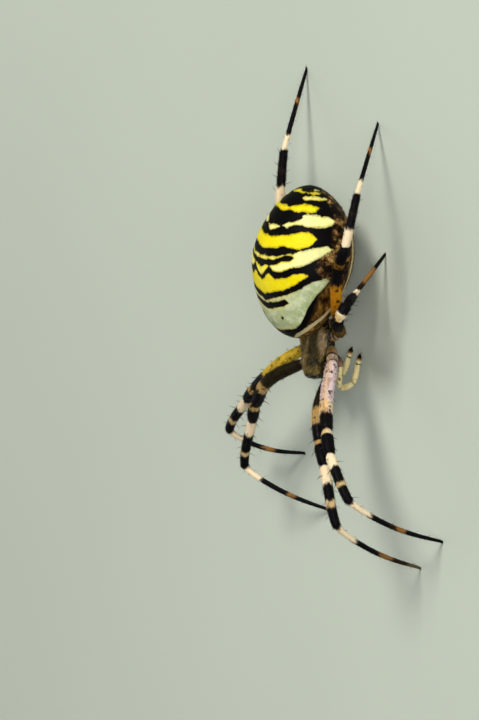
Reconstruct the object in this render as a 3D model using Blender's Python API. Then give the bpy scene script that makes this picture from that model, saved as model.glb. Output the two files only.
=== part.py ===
"""Female wasp spider, life size, on the floor with its head towards -Y and its left side towards +X.

All sizes below are in millimetres; the finished meshes are scaled to metres at the end.
"""

import math

import bmesh
import bpy
from mathutils import Vector

MM = 0.001
JOINT_GAP = 0.04  # between two leg segments
ROUND = 12  # sides of a leg's section
THINNEST_RADIUS = 0.25

# Colour, roughness and metallic value of each kind of part
MATERIALS = {
    "prosoma": ((0.22, 0.19, 0.14), 0.55, 0.0),
    "abdomen": ((0.80, 0.62, 0.06), 0.40, 0.0),
    "leg": ((0.10, 0.07, 0.05), 0.40, 0.0),
    "palp": ((0.62, 0.48, 0.26), 0.45, 0.0),
    "eye": ((0.01, 0.01, 0.01), 0.08, 0.0),
    "chelicera": ((0.12, 0.07, 0.04), 0.35, 0.0),
    "maxilla": ((0.30, 0.19, 0.10), 0.35, 0.0),
    "pedicel": ((0.10, 0.07, 0.05), 0.50, 0.0),
    "spinnerets": ((0.16, 0.09, 0.05), 0.50, 0.0),
}

# Carapace and sternum: y, half width, top, edge height, sternum half width, underside
PROSOMA_RINGS = [
    (-3.05, 0.72, 5.35, 4.85, 0.45, 4.55),
    (-2.90, 0.96, 5.58, 4.85, 0.62, 4.30),
    (-2.55, 1.14, 5.76, 4.82, 0.75, 3.95),
    (-2.10, 1.28, 5.84, 4.80, 0.85, 3.45),
    (-1.60, 1.40, 5.84, 4.80, 0.95, 3.20),
    (-1.00, 1.64, 5.76, 4.80, 1.10, 3.12),
    (-0.40, 1.98, 5.68, 4.80, 1.20, 3.10),
    (0.30, 2.32, 5.58, 4.78, 1.20, 3.10),
    (1.00, 2.45, 5.42, 4.72, 1.10, 3.12),
    (1.60, 2.30, 5.14, 4.62, 0.95, 3.18),
    (2.10, 1.92, 4.80, 4.48, 0.75, 3.32),
    (2.45, 1.40, 4.52, 4.34, 0.55, 3.60),
    (2.65, 0.90, 4.36, 4.24, 0.40, 3.80),
]

# Abdomen, from front to rear: y, centre height, half width, half height
ABDOMEN_RINGS = [
    (0.86, 6.92, 0.55, 0.24),
    (0.98, 6.91, 1.25, 0.58),
    (1.20, 6.90, 2.00, 0.98),
    (1.55, 6.88, 2.70, 1.38),
    (1.95, 6.84, 3.28, 1.74),
    (2.70, 6.74, 3.98, 2.35),
    (3.60, 6.56, 4.55, 2.90),
    (4.95, 6.38, 5.05, 3.54),
    (6.30, 6.12, 5.35, 4.05),
    (7.65, 5.92, 5.45, 4.32),
    (9.00, 5.72, 5.30, 4.24),
    (10.35, 5.54, 4.92, 3.92),
    (11.50, 5.38, 4.36, 3.45),
    (12.40, 5.30, 3.74, 2.95),
    (13.10, 5.24, 3.06, 2.42),
    (13.70, 5.18, 2.30, 1.80),
    (14.10, 5.14, 1.58, 1.22),
    (14.34, 5.12, 0.94, 0.72),
    (14.45, 5.11, 0.40, 0.32),
]
ABDOMEN_SIDES = 32

PEDICEL_HEIGHT = 4.06
PEDICEL_RADIUS = 0.22
PEDICEL_SPAN = (2.68, 3.6)

# Joints of each leg: coxa, femur base, knee, patella end, tibia end, foot
LEGS = {
    "left_1": (
        (1.0, -1.7, 3.9), (2.1, -2.5, 4.55), (6.1, -7.35, 7.95),
        (8.0, -9.0, 8.6), (10.5, -14.1, 8.8), (10.1, -19.3, 0),
    ),
    "left_2": (
        (1.1, -0.4, 3.75), (2.6, -1.2, 4.5), (7.4, -6.1, 7.95),
        (9.1, -7.85, 8.65), (12.6, -11.4, 8.7), (13.8, -16.0, 0),
    ),
    "left_3": (
        (1.1, 0.68, 3.75), (2.85, 1.3, 3.85), (7.35, 3.8, 6.55),
        (7.55, 5.0, 5.8), (5.7, 5.26, 4.04), (4.5, 8.4, 0),
    ),
    "left_4": (
        (0.95, 1.8, 3.75), (2.52, 2.42, 4.0), (7.5, 8.25, 6.7),
        (8.4, 10.2, 6.5), (7.9, 14.7, 4.9), (3.4, 20.0, 0),
    ),
    "right_1": (
        (-1.0, -1.7, 3.9), (-2.3, -2.2, 4.6), (-8.3, -7.0, 6.4),
        (-10.0, -8.9, 5.8), (-12.4, -14.05, 5.3), (-5.5, -17.5, 0),
    ),
    "right_2": (
        (-1.1, -0.4, 3.75), (-2.6, -0.95, 4.3), (-9.2, -5.7, 5.9),
        (-11.3, -7.3, 5.6), (-15.1, -11.1, 5.4), (-10.4, -13.0, 0),
    ),
    "right_3": (
        (-1.1, 0.72, 3.75), (-2.95, 1.15, 4.0), (-6.8, 2.6, 5.6),
        (-7.6, 3.9, 4.9), (-7.7, 5.8, 3.2), (-6.6, 8.8, 0),
    ),
    "right_4": (
        (-0.95, 1.8, 3.75), (-2.65, 2.4, 3.9), (-6.7, 8.9, 4.9),
        (-6.8, 11.5, 4.4), (-7.2, 16.6, 3.6), (-9.1, 23.6, 0),
    ),
}
# How far the middle of a segment bows away from the straight line between its ends
BOWS = {
    ("left_1", "femur"): (0, 0, 0.5),
    ("left_2", "femur"): (0, 0, 0.25),
    ("left_4", "femur"): (0.95, -0.6, 0.65),
    ("right_1", "femur"): (0, 0.3, 0.8),
    ("right_2", "femur"): (0, 0.2, 0),
    ("right_4", "femur"): (-1.0, -0.3, 0.1),
    ("left_1", "metatarsus"): (0, -0.38, 0),
    ("left_2", "metatarsus"): (0, -0.42, 0),
    ("right_1", "metatarsus"): (0, -0.32, 0),
    ("right_2", "metatarsus"): (0, -0.50, 0),
}
# Radii along each segment, from base to tip
SEGMENT_RADII = {
    "coxa": (0.46, 0.55, 0.61, 0.61, 0.57),
    "femur": (0.52, 0.59, 0.63, 0.62, 0.62, 0.57),
    "patella": (0.53, 0.59, 0.59, 0.52),
    "tibia": (0.47, 0.51, 0.49, 0.46, 0.43),
    "metatarsus": (0.35, 0.31, 0.29, 0.28, 0.27, 0.26, 0.25, 0.25, 0.25),
}
LEG_THICKNESS = {"left_3": 0.88, "left_4": 0.82, "right_3": 0.88, "right_4": 0.92}
# How rounded each segment's curve is: the least on the long straight end of the leg
SEGMENT_PULL = {"coxa": 0.7, "femur": 0.7, "patella": 0.6, "tibia": 0.45, "metatarsus": 0.3}

# Joints of each palp: base, femur end, patella end, tibia end, tip
PALPS = {
    "left": (
        (1.24, -2.05, 2.86), (1.35, -4.0, 2.9), (1.3, -3.8, 1.65),
        (1.15, -2.1, 0.95), (1.1, -1.3, 0.72),
    ),
    "right": (
        (-1.24, -2.05, 2.86), (-1.1, -3.8, 2.6), (-1.05, -3.5, 1.4),
        (-0.9, -1.85, 0.68), (-0.85, -1.05, 0.44),
    ),
}
PALP_RADII = (0.25, 0.28, 0.27, 0.28, 0.26)
# The mouthpart that carries each palp: points of its middle line on the left side, radius
MAXILLA = (
    ((0.45, -1.30, 3.30), 0.34), ((0.80, -1.45, 3.06), 0.44),
    ((1.08, -1.72, 2.92), 0.42), ((1.23, -2.02, 2.86), 0.28),
)

# Eyes of the left side, mirrored for the right: middle, radius
EYES = {
    "front_middle": ((0.24, -3.05, 5.12), 0.15),
    "rear_middle": ((0.28, -2.88, 5.52), 0.15),
    "front_side": ((0.80, -2.93, 5.00), 0.12),
    "rear_side": ((0.98, -2.72, 5.12), 0.12),
}


def clear_scene():
    for obj in list(bpy.data.objects):
        bpy.data.objects.remove(obj)


def material(kind):
    """The material shared by all parts of one kind."""
    found = bpy.data.materials.get(kind)
    if found:
        return found
    colour, roughness, metallic = MATERIALS[kind]
    made = bpy.data.materials.new(kind)
    made.use_nodes = True
    shader = made.node_tree.nodes["Principled BSDF"]
    shader.inputs["Base Color"].default_value = (*colour, 1)
    shader.inputs["Roughness"].default_value = roughness
    shader.inputs["Metallic"].default_value = metallic
    return made


def add_node(name, points, faces, collection):
    """A mesh object with its faces turned outwards and the material of its kind."""
    mesh = bpy.data.meshes.new(name)
    mesh.from_pydata(points, [], faces)
    shape = bmesh.new()
    shape.from_mesh(mesh)
    bmesh.ops.recalc_face_normals(shape, faces=shape.faces)
    shape.to_mesh(mesh)
    shape.free()
    mesh.materials.append(material(name.split("_")[0]))
    mesh.shade_smooth()
    node = bpy.data.objects.new(name, mesh)
    collection.objects.link(node)
    return node


def loft(name, rings, collection):
    """A closed body through rings of points, all with the same number of points."""
    sides = len(rings[0])
    points = [point for ring in rings for point in ring]
    faces = [tuple(range(sides)), tuple(range(len(points) - sides, len(points)))]
    for row in range(len(rings) - 1):
        for i in range(sides):
            j = (i + 1) % sides
            low, high = row * sides, (row + 1) * sides
            faces.append((low + i, low + j, high + j, high + i))
    return add_node(name, points, faces, collection)


def section(middle, along, side, radius, sides=ROUND):
    """A circle of points square to the direction along."""
    out = (side - along * side.dot(along)).normalized()
    up = along.cross(out)
    angles = [2 * math.pi * i / sides for i in range(sides)]
    return [middle + out * radius * math.cos(a) + up * radius * math.sin(a) for a in angles]


def joint_directions(joints):
    """The direction of the leg's middle line at each joint, halfway between its two neighbours."""
    spans = [(b - a).normalized() for a, b in zip(joints, joints[1:])]
    inner = [(a + b).normalized() for a, b in zip(spans, spans[1:])]
    return [spans[0]] + inner + [spans[-1]]


def curve_point(ends, ways, pull, t):
    """A point and direction of the smooth curve between two joints."""
    start, end = ends
    a, b = (way * pull * (end - start).length for way in ways)
    share = 3 * t**2 - 2 * t**3
    point = start * (1 - share) + end * share + a * (t**3 - 2 * t**2 + t) + b * (t**3 - t**2)
    way = (end - start) * (6 * t - 6 * t**2) + a * (3 * t**2 - 4 * t + 1) + b * (3 * t**2 - 2 * t)
    return point, way.normalized()


def segment_rings(ends, ways, radii, pull, bow=(0, 0, 0)):
    """The sections of one leg segment, which ends half a joint gap short of each joint."""
    gap = JOINT_GAP / 2 / (ends[1] - ends[0]).length
    rings = []
    for i, radius in enumerate(radii):
        t = gap + (1 - 2 * gap) * i / (len(radii) - 1)
        middle, way = curve_point(ends, ways, pull, t)
        middle += Vector(bow) * math.sin(math.pi * t) ** 2
        rings.append(section(middle, way, Vector((0.3, 0.2, 1)), radius))
    return rings


def flat_foot(ring, way):
    """The last ring of a leg, slid along the leg until it lies on the floor."""
    return [point - way * (point.z / way.z) for point in ring]


def build_leg(name, joints, collection):
    joints = [Vector(joint) for joint in joints]
    ways = joint_directions(joints)
    scale = LEG_THICKNESS.get(name, 1)
    for i, (segment, radii) in enumerate(SEGMENT_RADII.items()):
        thick = [max(radius * scale, THINNEST_RADIUS) for radius in radii]
        bow = BOWS.get((name, segment), (0, 0, 0))
        rings = segment_rings(joints[i : i + 2], ways[i : i + 2], thick, SEGMENT_PULL[segment], bow)
        if segment == "metatarsus":
            rings[-1] = flat_foot(rings[-1], ways[-1])
        loft(f"leg_{name}_{segment}", rings, collection)


def build_palp(side, joints, collection):
    """A palp in two pieces of two segments each."""
    joints = [Vector(joint) for joint in joints]
    ways = joint_directions(joints)
    for piece, first in (("femur", 0), ("tibia", 2)):
        rings = []
        for span in (first, first + 1):
            radii = PALP_RADII[span], (PALP_RADII[span] + PALP_RADII[span + 1]) / 2, PALP_RADII[span + 1]
            found = segment_rings(joints[span : span + 2], ways[span : span + 2], radii, 0.7)
            rings += found if span == first else found[1:]
        loft(f"palp_{side}_{piece}", rings, collection)


def prosoma_ring(y, width, top, edge, sternum, under):
    """The carapace's dome over a narrower sternum, drawn on one side and mirrored."""
    rise = top - edge
    half = [
        (0.35 * width, top - 0.05 * rise),
        (0.66 * width, edge + 0.76 * rise),
        (0.88 * width, edge + 0.44 * rise),
        (width, edge),
        (0.94 * width, edge - 0.14),
        (sternum + 0.08, edge - 0.18),
        (sternum, 0.5 * (edge - 0.18 + under)),
        (0.80 * sternum, under + 0.12),
        (0.35 * sternum, under),
    ]
    left = [(x, y, z) for x, z in half]
    right = [(-x, y, z) for x, z in reversed(half)]
    return [Vector((0, y, top))] + [Vector(p) for p in left + right]


def abdomen_ring(y, middle, width, height):
    angles = [2 * math.pi * i / ABDOMEN_SIDES for i in range(ABDOMEN_SIDES)]
    return [Vector((width * math.sin(a), y, middle + height * math.cos(a))) for a in angles]


def ball(name, middle, size, collection, sides=12, rows=6):
    """An ellipsoid from a sphere; size holds its three half lengths."""
    shape = bmesh.new()
    bmesh.ops.create_uvsphere(shape, u_segments=sides, v_segments=rows, radius=1)
    points = [Vector(middle) + Vector(a * b for a, b in zip(size, vertex.co)) for vertex in shape.verts]
    faces = [tuple(vertex.index for vertex in face.verts) for face in shape.faces]
    shape.free()
    return add_node(name, points, faces, collection)


def build_chelicera(side, sign, collection):
    """One jaw's base segment, hanging from the front of the carapace."""
    top, tip = Vector((0.48 * sign, -2.72, 4.75)), Vector((0.45 * sign, -3.05, 3.05))
    way = (tip - top).normalized()
    radii = (0.30, 0.42, 0.44, 0.42, 0.36, 0.24)
    rings = [
        section(top.lerp(tip, i / (len(radii) - 1)), way, Vector((1, 0, 0)), radius)
        for i, radius in enumerate(radii)
    ]
    return loft(f"chelicera_{side}", rings, collection)


def build_maxilla(side, sign, collection):
    """The swollen mouthpart between the sternum and a palp."""
    points = [Vector((x * sign, y, z)) for (x, y, z), _ in MAXILLA]
    ways = joint_directions(points)
    rings = [
        section(point, way, Vector((0, 0, 1)), radius)
        for point, way, (_, radius) in zip(points, ways, MAXILLA)
    ]
    return loft(f"maxilla_{side}", rings, collection)


def cut_away(node, others):
    """Takes the neighbours' volume out of a node, so that they only touch."""
    for other in others:
        cut = node.modifiers.new(f"cut_{other.name}", "BOOLEAN")
        cut.operation = "DIFFERENCE"
        cut.solver = "EXACT"
        cut.object = other
    graph = bpy.context.evaluated_depsgraph_get()
    mesh = bpy.data.meshes.new_from_object(node.evaluated_get(graph))
    node.modifiers.clear()
    node.data = mesh


def centre_and_scale(nodes):
    """Moves the middle of the whole spider's base to the origin, and turns millimetres into metres."""
    points = [vertex.co for node in nodes for vertex in node.data.vertices]
    middle = [(min(p[axis] for p in points) + max(p[axis] for p in points)) / 2 for axis in (0, 1)]
    for node in nodes:
        for vertex in node.data.vertices:
            vertex.co = (vertex.co - Vector((*middle, 0))) * MM


def main():
    clear_scene()
    spider = bpy.data.collections.new("wasp_spider")
    bpy.context.scene.collection.children.link(spider)
    prosoma = loft("prosoma", [prosoma_ring(*row) for row in PROSOMA_RINGS], spider)
    abdomen = loft("abdomen", [abdomen_ring(*row) for row in ABDOMEN_RINGS], spider)
    along, side = Vector((0, 1, 0)), Vector((1, 0, 0))
    ends = [section(Vector((0, y, PEDICEL_HEIGHT)), along, side, PEDICEL_RADIUS) for y in PEDICEL_SPAN]
    cut_away(loft("pedicel", ends, spider), (abdomen,))
    spinnerets = ball("spinnerets", (0, 11.9, 2.3), (0.60, 0.55, 0.70), spider)
    cut_away(spinnerets, (abdomen,))
    for name, joints in LEGS.items():
        build_leg(name, joints, spider)
        cut_away(spider.objects[f"leg_{name}_coxa"], (prosoma,))
    for side, sign in (("left", 1), ("right", -1)):
        chelicera = build_chelicera(side, sign, spider)
        cut_away(chelicera, (prosoma,))
        build_palp(side, PALPS[side], spider)
        coxa, palp = spider.objects[f"leg_{side}_1_coxa"], spider.objects[f"palp_{side}_femur"]
        cut_away(build_maxilla(side, sign, spider), (prosoma, chelicera, coxa, palp))
        for place, (middle, radius) in EYES.items():
            spot = (middle[0] * sign, middle[1], middle[2])
            eye = ball(f"eye_{side}_{place}", spot, (radius,) * 3, spider, 10, 6)
            cut_away(eye, (prosoma,))
    centre_and_scale(list(spider.objects))


main()
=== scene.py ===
"""A female wasp spider at life size, on a pale floor: skins, coats, eyes, camera and light.

Shapes are made in millimetres, in the spider's own axes: x to its left, y to its rear, z up,
with the middle of the carapace over the origin. They are moved and scaled to metres at the end.
"""

import math

import bpy
import numpy as np
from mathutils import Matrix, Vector

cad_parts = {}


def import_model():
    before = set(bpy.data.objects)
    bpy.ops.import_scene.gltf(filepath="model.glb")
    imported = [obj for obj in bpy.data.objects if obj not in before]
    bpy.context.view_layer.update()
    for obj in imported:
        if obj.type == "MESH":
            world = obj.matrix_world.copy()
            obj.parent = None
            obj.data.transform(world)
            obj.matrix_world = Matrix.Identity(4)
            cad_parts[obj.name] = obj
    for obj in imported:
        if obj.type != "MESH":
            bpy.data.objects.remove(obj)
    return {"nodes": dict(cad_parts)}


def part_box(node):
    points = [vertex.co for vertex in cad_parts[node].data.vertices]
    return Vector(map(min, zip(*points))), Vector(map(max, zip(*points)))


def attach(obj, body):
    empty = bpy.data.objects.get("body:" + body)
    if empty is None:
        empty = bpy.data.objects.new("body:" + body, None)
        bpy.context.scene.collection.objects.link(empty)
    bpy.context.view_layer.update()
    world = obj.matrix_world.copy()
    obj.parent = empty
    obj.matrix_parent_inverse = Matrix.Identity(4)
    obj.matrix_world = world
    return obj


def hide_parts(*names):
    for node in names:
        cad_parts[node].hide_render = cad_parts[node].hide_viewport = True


MM = 0.001
FRONT_OF_ABDOMEN = 0.86  # its y in the spider's own axes
MM_PER_DEGREE = 0.08  # round the abdomen, about

# Camera, in the spider's own axes
CAMERA_PLACE = (254.03, 62.87, 151.56)
CAMERA_FORWARD = (-0.857, -0.214, -0.469)
CAMERA_UP = (-0.179, 0.977, -0.118)
LENS_MM = 166.5
FLOOR_SIZE = 6.0  # metres

# Joints of each leg: coxa, femur base, knee, patella end, tibia end, foot
LEGS = {
    "left_1": (
        (1.0, -1.7, 3.9), (2.1, -2.5, 4.55), (6.1, -7.35, 7.95),
        (8.0, -9.0, 8.6), (10.5, -14.1, 8.8), (10.1, -19.3, 0),
    ),
    "left_2": (
        (1.1, -0.4, 3.75), (2.6, -1.2, 4.5), (7.4, -6.1, 7.95),
        (9.1, -7.85, 8.65), (12.6, -11.4, 8.7), (13.8, -16.0, 0),
    ),
    "left_3": (
        (1.1, 0.68, 3.75), (2.85, 1.3, 3.85), (7.35, 3.8, 6.55),
        (7.55, 5.0, 5.8), (5.7, 5.26, 4.04), (4.5, 8.4, 0),
    ),
    "left_4": (
        (0.95, 1.8, 3.75), (2.52, 2.42, 4.0), (7.5, 8.25, 6.7),
        (8.4, 10.2, 6.5), (7.9, 14.7, 4.9), (3.4, 20.0, 0),
    ),
    "right_1": (
        (-1.0, -1.7, 3.9), (-2.3, -2.2, 4.6), (-8.3, -7.0, 6.4),
        (-10.0, -8.9, 5.8), (-12.4, -14.05, 5.3), (-5.5, -17.5, 0),
    ),
    "right_2": (
        (-1.1, -0.4, 3.75), (-2.6, -0.95, 4.3), (-9.2, -5.7, 5.9),
        (-11.3, -7.3, 5.6), (-15.1, -11.1, 5.4), (-10.4, -13.0, 0),
    ),
    "right_3": (
        (-1.1, 0.72, 3.75), (-2.95, 1.15, 4.0), (-6.8, 2.6, 5.6),
        (-7.6, 3.9, 4.9), (-7.7, 5.8, 3.2), (-6.6, 8.8, 0),
    ),
    "right_4": (
        (-0.95, 1.8, 3.75), (-2.65, 2.4, 3.9), (-6.7, 8.9, 4.9),
        (-6.8, 11.5, 4.4), (-7.2, 16.6, 3.6), (-9.1, 23.6, 0),
    ),
}
# How far the middle of a segment bows away from the straight line between its ends
BOWS = {
    ("left_1", "femur"): (0, 0, 0.5),
    ("left_2", "femur"): (0, 0, 0.25),
    ("left_4", "femur"): (0.95, -0.6, 0.65),
    ("right_1", "femur"): (0, 0.3, 0.8),
    ("right_2", "femur"): (0, 0.2, 0),
    ("right_4", "femur"): (-1.0, -0.3, 0.1),
    ("left_1", "metatarsus"): (0, -0.38, 0),
    ("left_2", "metatarsus"): (0, -0.42, 0),
    ("right_1", "metatarsus"): (0, -0.32, 0),
    ("right_2", "metatarsus"): (0, -0.50, 0),
}
SEGMENTS = ("coxa", "femur", "patella", "tibia", "metatarsus")
SEGMENT_PULL = {"coxa": 0.7, "femur": 0.7, "patella": 0.6, "tibia": 0.45, "metatarsus": 0.3}
# Radii of the skin along each segment; the coxa's row ends in the trochanter, the last one in the tarsus
SKIN_RADII = {
    "coxa": (0.42, 0.50, 0.56, 0.58, 0.56, 0.44, 0.52, 0.54, 0.46),
    "femur": (0.42, 0.50, 0.55, 0.56, 0.55, 0.55, 0.54, 0.49),
    "patella": (0.46, 0.53, 0.53, 0.45),
    "tibia": (0.40, 0.44, 0.43, 0.40, 0.37),
    "metatarsus": (0.30, 0.26, 0.24, 0.23, 0.22, 0.20, 0.17, 0.14, 0.11),
}
LEG_THICKNESS = {"left_3": 0.88, "left_4": 0.82, "right_3": 0.88, "right_4": 0.92}
LEG_SIDES = 28
ROUND_SIDES = 24  # of a palp, a jaw or a maxilla

PALPS = {
    "left": (
        (1.24, -2.05, 2.86), (1.35, -4.0, 2.9), (1.3, -3.8, 1.65),
        (1.15, -2.1, 0.95), (1.1, -1.3, 0.72),
    ),
    "right": (
        (-1.24, -2.05, 2.86), (-1.1, -3.8, 2.6), (-1.05, -3.5, 1.4),
        (-0.9, -1.85, 0.68), (-0.85, -1.05, 0.44),
    ),
}
PALP_RADII = {
    "femur": (0.18, 0.23, 0.24, 0.21),
    "patella": (0.21, 0.25, 0.25, 0.21),
    "tibia": (0.21, 0.25, 0.25, 0.21),
    "tarsus": (0.20, 0.24, 0.22, 0.16, 0.08),
}

# Middle line of the left mouthpart, from the sternum to the palp, and its radii
MAXILLA = ((0.45, -1.30, 3.30), (0.80, -1.45, 3.06), (1.08, -1.72, 2.92), (1.22, -2.00, 2.86))
MAXILLA_RADII = ((0.28, 0.39), (0.39, 0.37), (0.37, 0.24))

SIDES = (("left", 1), ("right", -1))  # with the sign of x
# Eyes of the left side, mirrored for the right: middle, radius
EYES = {
    "front_middle": ((0.24, -3.05, 5.12), 0.145),
    "rear_middle": ((0.28, -2.88, 5.52), 0.145),
    "front_side": ((0.80, -2.93, 5.00), 0.115),
    "rear_side": ((0.98, -2.72, 5.12), 0.115),
}

# sRGB colours of the markings
BLACK = (0.022, 0.016, 0.016)
DARK_BROWN = (0.14, 0.085, 0.06)
CREAM = (0.96, 0.88, 0.74)
YELLOW = (0.92, 0.85, 0.0)
LEMON = (0.94, 0.90, 0.30)
PALE_YELLOW = (0.94, 0.93, 0.63)
GREEN_WHITE = (0.68, 0.73, 0.55)
BAND_COLOURS = {
    "black": (0.030, 0.022, 0.036),
    "dark": DARK_BROWN,
    "coxa": (0.60, 0.48, 0.27),
    "olive": (0.16, 0.14, 0.07),
    "rose": (0.94, 0.86, 0.88),
    "golden": (0.92, 0.82, 0.30),
    "sand": (0.99, 0.88, 0.74),
    "orange": (0.80, 0.56, 0.09),
    "tan": (0.81, 0.70, 0.50),
    "cream": CREAM,
    "amber": (0.50, 0.36, 0.08),
    "rust": (0.54, 0.38, 0.20),
    "dusk": (0.34, 0.30, 0.20),
    "palp": (0.95, 0.89, 0.66),
}

# Colour bands of a leg, each up to the given place: 0 to 1 coxa, 1 to 2 femur, and so on to 5
LEG_BANDS = {
    "1": (
        (0.97, "coxa"), (1.08, "dark"), (1.52, "olive"), (1.73, "tan"), (2.06, "black"),
        (2.27, "tan"), (3.05, "black"), (3.34, "cream"), (3.56, "black"), (3.63, "tan"),
        (4.03, "black"), (4.27, "cream"), (4.49, "black"), (4.61, "rust"), (4.78, "dark"),
        (5.00, "dusk"),
    ),
    "right_1": (
        (0.97, "coxa"), (1.08, "dark"), (1.57, "olive"), (1.67, "tan"), (2.03, "black"),
        (2.24, "tan"), (3.05, "black"), (3.34, "cream"), (3.62, "black"), (3.68, "tan"),
        (4.00, "black"), (4.27, "cream"), (4.50, "black"), (4.57, "rust"), (5.00, "black"),
    ),
    "2": (
        (0.97, "coxa"), (1.03, "dark"), (1.60, "rose"), (1.735, "sand"), (2.01, "black"),
        (2.26, "cream"), (3.00, "black"), (3.32, "cream"), (3.57, "black"), (3.635, "tan"),
        (4.03, "black"), (4.27, "cream"), (4.48, "black"), (4.57, "rust"), (5.00, "black"),
    ),
    "right_2": (
        (0.97, "coxa"), (1.03, "dark"), (1.69, "golden"), (2.01, "black"),
        (2.26, "tan"), (3.00, "black"), (3.32, "cream"), (3.56, "black"), (3.645, "tan"),
        (4.00, "black"), (4.27, "cream"), (4.48, "black"), (4.57, "rust"), (5.00, "black"),
    ),
    "3": (
        (0.97, "coxa"), (1.08, "dark"), (1.62, "amber"), (1.98, "black"),
        (2.36, "cream"), (4.00, "black"), (4.20, "cream"), (4.34, "dark"),
        (4.62, "rust"), (5.00, "black"),
    ),
    "4": (
        (0.97, "coxa"), (1.20, "dark"), (1.76, "orange"), (2.10, "black"), (2.32, "amber"),
        (3.04, "black"), (3.38, "cream"), (3.58, "black"), (3.64, "dark"), (4.00, "black"),
        (4.25, "cream"), (4.54, "black"), (4.605, "rust"), (5.00, "black"),
    ),
}
# On each coxa a dark ring at the joint, then a pale one that is a painted highlight: strength, colour, and
# where it starts and ends
COXA_RINGS = (
    (0.90, DARK_BROWN, (0.54, 0.60, 0.63, 0.68)),
    (0.85, (0.90, 0.83, 0.84), (0.69, 0.73, 0.81, 0.87)),
)
# The colour bands of a palp, from 0 to 4
PALP_BANDS = (
    (0.96, "palp"), (1.02, "amber"), (1.95, "palp"), (2.03, "dark"), (2.94, "palp"), (3.02, "dark"),
    (3.30, "palp"), (3.44, "tan"), (3.58, "rust"), (4.00, "black"),
)

# Markings of the abdomen: hue from 0 (yellow) to 1 (greenish white), then angle from the
# midline in degrees, front edge and rear edge in mm; both sides are alike
BANDS = (
    (0.55, ((76, 14.22, 14.20), (86, 14.14, 14.26), (98, 14.12, 14.20), (106, 14.16, 14.14))),
    (0.10, ((0, 14.05, 14.22), (22, 14.03, 14.16), (40, 14.00, 14.10), (62, 13.95, 14.10),
            (86, 13.90, 14.07), (100, 14.00, 13.98))),
    (0.35, ((31, 13.68, 13.66), (42, 13.52, 13.78), (80, 13.42, 13.76), (100, 13.46, 13.64),
            (108, 13.54, 13.52))),
    (0.00, ((0, 12.50, 12.98), (12, 12.62, 12.96), (24, 12.68, 13.08), (42, 12.56, 13.22),
            (60, 12.56, 13.22), (74, 12.80, 13.00), (86, 12.95, 12.85))),
    (0.42, ((0, 10.80, 11.36), (9, 11.12, 11.36), (14, 11.32, 11.28))),
    (0.48, ((15, 11.40, 11.36), (24, 11.24, 11.72), (40, 11.56, 11.98), (46, 11.56, 12.42),
            (56, 11.40, 12.42), (67, 11.34, 12.36), (84, 11.40, 12.24), (93, 11.52, 12.08),
            (98, 11.76, 11.86))),
    (0.00, ((0, 9.28, 10.46), (14, 9.50, 10.50), (30, 9.70, 10.72), (45, 9.56, 11.06),
            (56, 9.76, 11.02), (63, 10.05, 10.82), (67, 10.36, 10.50))),
    (0.30, ((0, 8.34, 8.68), (20, 8.46, 8.78), (38, 8.92, 9.22))),
    (0.62, ((13, 7.90, 7.86), (20, 7.42, 8.24), (28, 7.45, 8.60), (40, 7.90, 9.20), (55, 8.18, 9.50),
            (67, 8.66, 9.78), (81, 9.20, 9.84), (90, 9.50, 9.46))),
    (0.25, ((0, 6.92, 7.72), (5, 7.20, 7.86), (10, 7.62, 8.00), (13, 7.95, 7.92))),
    (0.02, ((0, 5.20, 6.45), (7, 5.30, 6.85), (13, 5.45, 7.32), (20, 5.62, 6.76), (33, 5.86, 7.02),
            (45, 6.38, 7.42), (55, 6.98, 7.54), (61, 7.34, 7.28))),
    (1.00, ((0, 1.74, 4.60), (15, 1.80, 4.95), (30, 1.98, 5.30), (43, 2.18, 5.70), (55, 2.68, 6.30),
            (63, 4.30, 6.66), (72, 5.40, 6.92), (82, 6.25, 7.04), (87, 6.82, 6.76))),
)
# Black bars that cut into the bands, in the same way
BARS = (
    ((0, 11.48, 12.30), (30, 11.80, 12.36), (42, 12.02, 12.32), (46, 12.20, 12.16)),
    ((0, 7.98, 8.36), (20, 8.10, 8.50), (30, 8.44, 8.94), (40, 8.60, 8.98), (43, 8.82, 8.76)),
    ((0, 3.70, 4.30), (20, 4.10, 4.66), (32, 4.42, 4.98), (37, 4.72, 4.66)),
)

# Where the brown flank begins: y in mm, and the angle from the midline in degrees
FLANK_BORDER = (
    (1.2, 2.0, 2.7, 4.3, 5.7, 6.6, 7.8, 8.4, 9.1, 9.8, 10.6, 11.6, 12.2, 13.0),
    (48, 60, 66, 71, 75, 79, 67, 67, 72, 81, 86, 91, 96, 98),
)
# The cream line round the front of the flank: angles, and y in mm
FRONT_LINE = ((40, 49, 68, 88, 107, 130, 150), (1.1, 1.35, 2.1, 3.0, 4.15, 5.4, 6.6))
DARK_SPOT = (23, 3.1, 0.10)  # angle, y and radius of a small spot on the front patch

# Under the rear of the abdomen, on each side: x, y, radius and length of a cone
SPINNERETS = ((0.24, 11.62, 0.20, 0.62), (0.09, 11.92, 0.10, 0.40), (0.22, 12.16, 0.17, 0.55))
PEDICEL = ((0, 2.55, 4.06), (0, 3.0, 4.10), (0, 3.6, 4.06))
PEDICEL_RADII = ((0.20, 0.17), (0.17, 0.20))
# Middle lines of the left jaw and of its fang, and their radii
JAW = ((0.48, -2.72, 4.72), (0.46, -2.92, 3.7), (0.44, -3.03, 3.12))
JAW_RADII = ((0.30, 0.38, 0.40, 0.39), (0.39, 0.36, 0.30, 0.20))
FANG = ((0.44, -3.0, 3.16), (0.30, -2.92, 2.92), (0.12, -2.75, 2.98))
FANG_RADII = ((0.10, 0.08), (0.08, 0.02))

# Hairs of each coat
LEG_HAIRS = 6000
PALP_HAIRS = 1500
MAXILLA_HAIRS = 300
JAW_HAIRS = 700
ABDOMEN_HAIRS = 7000
CARAPACE_HAIRS = 9000
PATCH = 0.0015  # half the size of a hair's patch in the OFBake map


# -------------------- meshes


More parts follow.
